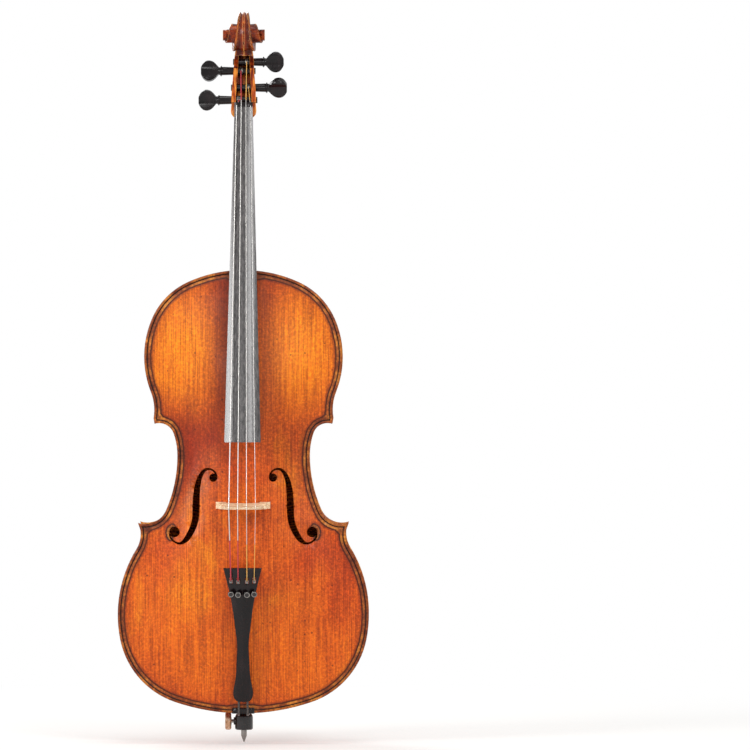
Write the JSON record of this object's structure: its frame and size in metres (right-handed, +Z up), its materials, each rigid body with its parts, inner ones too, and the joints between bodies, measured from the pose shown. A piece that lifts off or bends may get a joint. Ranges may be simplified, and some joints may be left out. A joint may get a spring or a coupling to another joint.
{
  "type": "cello",
  "caption": "Four-string bowed cello with arched body, f-shaped sound holes, carved scroll head, turned pegs, tailpiece with fine tuners and a sliding endpin.",
  "frame": {"origin": "the point of the endpin, where it stands on the floor, on the endpin's axis at the middle of the rib height", "axes": "+Z up along the body towards the scroll, -Y out of the belly, +X towards the treble side"},
  "size_m": [0.4304, 0.2654, 1.2573],
  "materials": {
    "belly_spruce": "satin varnished spruce",
    "varnished_maple": "satin varnished flamed maple",
    "head_maple": "dark satin varnished maple",
    "neck_maple": "oiled bare maple",
    "inner_spruce": "bare spruce",
    "purfling": "dyed wood inlay",
    "ebony": "polished ebony",
    "bridge_maple": "bare maple",
    "string_metal": "flat-wound polished metal",
    "red_silk": "wrapped silk thread",
    "cream_silk": "wrapped silk thread",
    "tail_cord": "dark satin cord",
    "black_metal": "black satin metal",
    "steel": "polished steel",
    "aged_brass": "darkened brass"
  },
  "bodies": {
    "sound_box": {"top_plate": "belly_spruce", "back_plate": "varnished_maple", "purfling_front": "purfling", "purfling_back": "purfling", "rib_upper_bass": "varnished_maple", "rib_upper_treble": "varnished_maple", "rib_waist_bass": "varnished_maple", "rib_waist_treble": "varnished_maple", "rib_lower_bass": "varnished_maple", "rib_lower_treble": "varnished_maple", "linings_front": "inner_spruce", "linings_back": "inner_spruce", "neck_block": "inner_spruce", "end_block": "inner_spruce", "corner_blocks": "inner_spruce", "bass_bar": "inner_spruce", "sound_post": "inner_spruce", "neck": "neck_maple", "head": "head_maple", "fingerboard": "ebony", "nut": "ebony", "saddle": "ebony", "bridge": "bridge_maple", "tailpiece": "ebony", "tail_cord": "tail_cord", "string_c": "string_metal", "string_g": "string_metal", "string_d": "string_metal", "string_a": "string_metal", "silk_peg_c_g": "red_silk", "silk_peg_d_a": "cream_silk", "silk_tail_c_g": "red_silk", "silk_tail_d_a": "cream_silk", "endpin_plug": "ebony", "endpin_housing": "black_metal"},
    "peg_c": {"peg_c": "ebony", "coil_c": "string_metal"},
    "peg_a": {"peg_a": "ebony", "coil_a": "string_metal"},
    "peg_g": {"peg_g": "ebony", "coil_g": "string_metal"},
    "peg_d": {"peg_d": "ebony", "coil_d": "string_metal"},
    "tuner_screw_c": {"tuner_screw_c": "steel"},
    "tuner_knob_c": {"tuner_knob_c": "black_metal"},
    "tuner_lever_c": {"tuner_lever_c": "steel"},
    "tuner_screw_g": {"tuner_screw_g": "steel"},
    "tuner_knob_g": {"tuner_knob_g": "black_metal"},
    "tuner_lever_g": {"tuner_lever_g": "steel"},
    "tuner_screw_d": {"tuner_screw_d": "steel"},
    "tuner_knob_d": {"tuner_knob_d": "black_metal"},
    "tuner_lever_d": {"tuner_lever_d": "steel"},
    "tuner_screw_a": {"tuner_screw_a": "steel"},
    "tuner_knob_a": {"tuner_knob_a": "black_metal"},
    "tuner_lever_a": {"tuner_lever_a": "steel"},
    "endpin_rod": {"endpin_rod": "steel"},
    "thumb_stem": {"endpin_thumb_stem": "steel"},
    "thumb_wing": {"endpin_thumb_wing": "aged_brass"}
  },
  "joints": [
    {"name": "peg_c_turn", "type": "hinge", "parent": "sound_box", "child": "peg_c", "pos_m": [0, -0.018, 1.1049], "axis": [1, 0, 0], "continuous": true},
    {"name": "peg_a_turn", "type": "hinge", "parent": "sound_box", "child": "peg_a", "pos_m": [0, -0.01027, 1.1265], "axis": [1, 0, 0], "continuous": true},
    {"name": "peg_g_turn", "type": "hinge", "parent": "sound_box", "child": "peg_g", "pos_m": [0, 0.00019, 1.1557], "axis": [1, 0, 0], "continuous": true},
    {"name": "peg_d_turn", "type": "hinge", "parent": "sound_box", "child": "peg_d", "pos_m": [0, 0.00584, 1.1715], "axis": [1, 0, 0], "continuous": true},
    {"name": "tuner_c_travel", "type": "slide", "parent": "sound_box", "child": "tuner_screw_c", "axis": [0, 0.9655, 0.2605], "range_m": [0, 0.003]},
    {"name": "tuner_c_turn", "type": "hinge", "parent": "tuner_screw_c", "child": "tuner_knob_c", "pos_m": [-0.0198, -0.13041, 0.25902], "axis": [0, 0.9655, 0.2605], "range_deg": [-5, 2200]},
    {"name": "tuner_c_tilt", "type": "hinge", "parent": "sound_box", "child": "tuner_lever_c", "pos_m": [-0.0198, -0.12974, 0.29338], "axis": [1, 0, 0], "range_deg": [-0.5, 5.5]},
    {"name": "tuner_g_travel", "type": "slide", "parent": "sound_box", "child": "tuner_screw_g", "axis": [0, 0.9655, 0.2605], "range_m": [0, 0.003]},
    {"name": "tuner_g_turn", "type": "hinge", "parent": "tuner_screw_g", "child": "tuner_knob_g", "pos_m": [-0.0075, -0.13041, 0.25902], "axis": [0, 0.9655, 0.2605], "range_deg": [-5, 2200]},
    {"name": "tuner_g_tilt", "type": "hinge", "parent": "sound_box", "child": "tuner_lever_g", "pos_m": [-0.0075, -0.12974, 0.29338], "axis": [1, 0, 0], "range_deg": [-0.5, 5.5]},
    {"name": "tuner_d_travel", "type": "slide", "parent": "sound_box", "child": "tuner_screw_d", "axis": [0, 0.9655, 0.2605], "range_m": [0, 0.003]},
    {"name": "tuner_d_turn", "type": "hinge", "parent": "tuner_screw_d", "child": "tuner_knob_d", "pos_m": [0.0075, -0.13041, 0.25902], "axis": [0, 0.9655, 0.2605], "range_deg": [-5, 2200]},
    {"name": "tuner_d_tilt", "type": "hinge", "parent": "sound_box", "child": "tuner_lever_d", "pos_m": [0.0075, -0.12974, 0.29338], "axis": [1, 0, 0], "range_deg": [-0.5, 5.5]},
    {"name": "tuner_a_travel", "type": "slide", "parent": "sound_box", "child": "tuner_screw_a", "axis": [0, 0.9655, 0.2605], "range_m": [0, 0.003]},
    {"name": "tuner_a_turn", "type": "hinge", "parent": "tuner_screw_a", "child": "tuner_knob_a", "pos_m": [0.0198, -0.13041, 0.25902], "axis": [0, 0.9655, 0.2605], "range_deg": [-5, 2200]},
    {"name": "tuner_a_tilt", "type": "hinge", "parent": "sound_box", "child": "tuner_lever_a", "pos_m": [0.0198, -0.12974, 0.29338], "axis": [1, 0, 0], "range_deg": [-0.5, 5.5]},
    {"name": "endpin_slide", "type": "slide", "parent": "sound_box", "child": "endpin_rod", "axis": [0, 0, -1], "range_m": [-0.018, 0.34]},
    {"name": "thumb_screw_travel", "type": "slide", "parent": "sound_box", "child": "thumb_stem", "axis": [-1, 0, 0], "range_m": [0, 0.003]},
    {"name": "thumb_screw_turn", "type": "hinge", "parent": "thumb_stem", "child": "thumb_wing", "pos_m": [-0.024, 0, 0.036], "axis": [-1, 0, 0], "range_deg": [-5, 1100]}
  ],
  "couplings": [
    {"joint": "tuner_c_turn", "follows": "tuner_c_travel", "rad_per_m": 12566},
    {"joint": "tuner_c_tilt", "follows": "tuner_c_travel", "rad_per_m": 30.3},
    {"joint": "tuner_g_turn", "follows": "tuner_g_travel", "rad_per_m": 12566},
    {"joint": "tuner_g_tilt", "follows": "tuner_g_travel", "rad_per_m": 30.3},
    {"joint": "tuner_d_turn", "follows": "tuner_d_travel", "rad_per_m": 12566},
    {"joint": "tuner_d_tilt", "follows": "tuner_d_travel", "rad_per_m": 30.3},
    {"joint": "tuner_a_turn", "follows": "tuner_a_travel", "rad_per_m": 12566},
    {"joint": "tuner_a_tilt", "follows": "tuner_a_travel", "rad_per_m": 30.3},
    {"joint": "thumb_screw_turn", "follows": "thumb_screw_travel", "rad_per_m": 6283.2}
  ]
}
